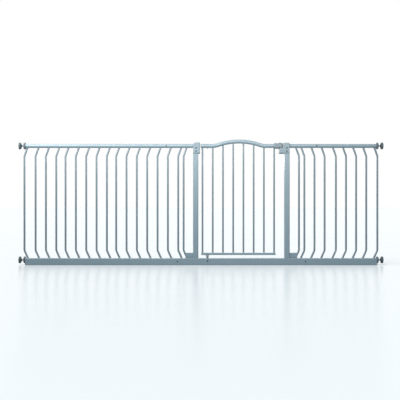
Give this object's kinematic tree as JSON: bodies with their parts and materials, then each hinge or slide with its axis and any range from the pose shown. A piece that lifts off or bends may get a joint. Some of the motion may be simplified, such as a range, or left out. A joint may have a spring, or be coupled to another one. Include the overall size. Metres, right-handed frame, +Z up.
{
  "type": "pet gate",
  "caption": "Wide pressure-fit metal pet gate: arched swing door, bowed-bar side panels, wall pads on threaded spindles.",
  "frame": {"origin": "on the floor, midway between the outer faces of the left and right wall pads, in the middle plane of the rails", "axes": "+X along the gate to the right as seen from the front, +Y to the back, +Z up"},
  "size_m": [2.254, 0.043, 0.777],
  "materials": {
    "powder_coated_steel": "satin light grey powder coat",
    "moulded_housing": "fine-grained moulded plastic in the coat's grey",
    "zinc_plated_steel": "zinc plated",
    "rubber": "matt dark grey rubber",
    "dark_plastic": "matt blue-grey moulded plastic"
  },
  "bodies": {
    "frame": {"threshold_rail": "powder_coated_steel", "left_post": "powder_coated_steel", "left_wing_tube": "powder_coated_steel", "left_frame_stub": "powder_coated_steel", "left_frame_bar": "powder_coated_steel", "left_panel_top_rail": "powder_coated_steel", "left_panel_bottom_rail": "powder_coated_steel", "left_panel_bars": "powder_coated_steel", "left_top_joining_tube": "powder_coated_steel", "left_bottom_joining_tube": "powder_coated_steel", "right_post": "powder_coated_steel", "right_wing_tube": "powder_coated_steel", "right_frame_stub": "powder_coated_steel", "right_frame_bar": "powder_coated_steel", "right_panel_top_rail": "powder_coated_steel", "right_panel_bottom_rail": "powder_coated_steel", "right_panel_bars": "powder_coated_steel", "right_top_joining_tube": "powder_coated_steel", "right_bottom_joining_tube": "powder_coated_steel", "hinge_bracket": "moulded_housing", "latch_catch": "moulded_housing", "hinge_arm": "zinc_plated_steel", "pivot_socket_screw": "zinc_plated_steel", "hinge_bracket_screws": "zinc_plated_steel", "latch_catch_screws": "zinc_plated_steel", "set_screws": "zinc_plated_steel", "pivot_socket": "dark_plastic", "left_upper_rail_plug": "dark_plastic", "left_lower_rail_plug": "dark_plastic", "right_upper_rail_plug": "dark_plastic", "right_lower_rail_plug": "dark_plastic"},
    "pivot": {"lower_pivot": "zinc_plated_steel"},
    "door": {"door_top_rail": "powder_coated_steel", "door_bottom_rail": "powder_coated_steel", "door_bars": "powder_coated_steel", "door_foot_bush": "dark_plastic", "door_bottom_rail_caps": "dark_plastic", "upper_hinge_pin": "zinc_plated_steel", "handle": "moulded_housing", "handle_nose": "dark_plastic"},
    "latch": {"latch_bolt": "zinc_plated_steel", "thumb_slider": "moulded_housing"},
    "left_upper_nut": {"left_upper_wheel_nut": "moulded_housing"},
    "left_upper_screw": {"left_upper_spindle": "zinc_plated_steel", "left_upper_wall_pad": "rubber"},
    "left_lower_nut": {"left_lower_wheel_nut": "moulded_housing"},
    "left_lower_screw": {"left_lower_spindle": "zinc_plated_steel", "left_lower_wall_pad": "rubber"},
    "right_upper_nut": {"right_upper_wheel_nut": "moulded_housing"},
    "right_upper_screw": {"right_upper_spindle": "zinc_plated_steel", "right_upper_wall_pad": "rubber"},
    "right_lower_nut": {"right_lower_wheel_nut": "moulded_housing"},
    "right_lower_screw": {"right_lower_spindle": "zinc_plated_steel", "right_lower_wall_pad": "rubber"}
  },
  "joints": [
    {"name": "door_swing", "type": "hinge", "parent": "frame", "child": "pivot", "pos_m": [0.04, 0, 0.05], "axis": [0, 0, 1], "range_deg": [0, 90]},
    {"name": "door_lift", "type": "slide", "parent": "pivot", "child": "door", "axis": [0, 0, 1], "range_m": [0, 0.009]},
    {"name": "latch_throw", "type": "slide", "parent": "door", "child": "latch", "axis": [1, 0, 0], "range_m": [0, 0.012]},
    {"name": "left_upper_nut_turn", "type": "hinge", "parent": "frame", "child": "left_upper_nut", "pos_m": [-1.0944, 0, 0.737], "axis": [1, 0, 0], "range_deg": [-1440, 7200]},
    {"name": "left_upper_screw_travel", "type": "slide", "parent": "frame", "child": "left_upper_screw", "axis": [-1, 0, 0], "range_m": [-0.005, 0.025]},
    {"name": "left_lower_nut_turn", "type": "hinge", "parent": "frame", "child": "left_lower_nut", "pos_m": [-1.0944, 0, 0.031], "axis": [1, 0, 0], "range_deg": [-1440, 7200]},
    {"name": "left_lower_screw_travel", "type": "slide", "parent": "frame", "child": "left_lower_screw", "axis": [-1, 0, 0], "range_m": [-0.005, 0.025]},
    {"name": "right_upper_nut_turn", "type": "hinge", "parent": "frame", "child": "right_upper_nut", "pos_m": [1.0944, 0, 0.737], "axis": [-1, 0, 0], "range_deg": [-1440, 7200]},
    {"name": "right_upper_screw_travel", "type": "slide", "parent": "frame", "child": "right_upper_screw", "axis": [1, 0, 0], "range_m": [-0.005, 0.025]},
    {"name": "right_lower_nut_turn", "type": "hinge", "parent": "frame", "child": "right_lower_nut", "pos_m": [1.0944, 0, 0.031], "axis": [-1, 0, 0], "range_deg": [-1440, 7200]},
    {"name": "right_lower_screw_travel", "type": "slide", "parent": "frame", "child": "right_lower_screw", "axis": [1, 0, 0], "range_m": [-0.005, 0.025]}
  ],
  "couplings": [
    {"joint": "left_upper_nut_turn", "follows": "left_upper_screw_travel", "rad_per_m": 5026.5},
    {"joint": "left_lower_nut_turn", "follows": "left_lower_screw_travel", "rad_per_m": 5026.5},
    {"joint": "right_upper_nut_turn", "follows": "right_upper_screw_travel", "rad_per_m": 5026.5},
    {"joint": "right_lower_nut_turn", "follows": "right_lower_screw_travel", "rad_per_m": 5026.5}
  ]
}
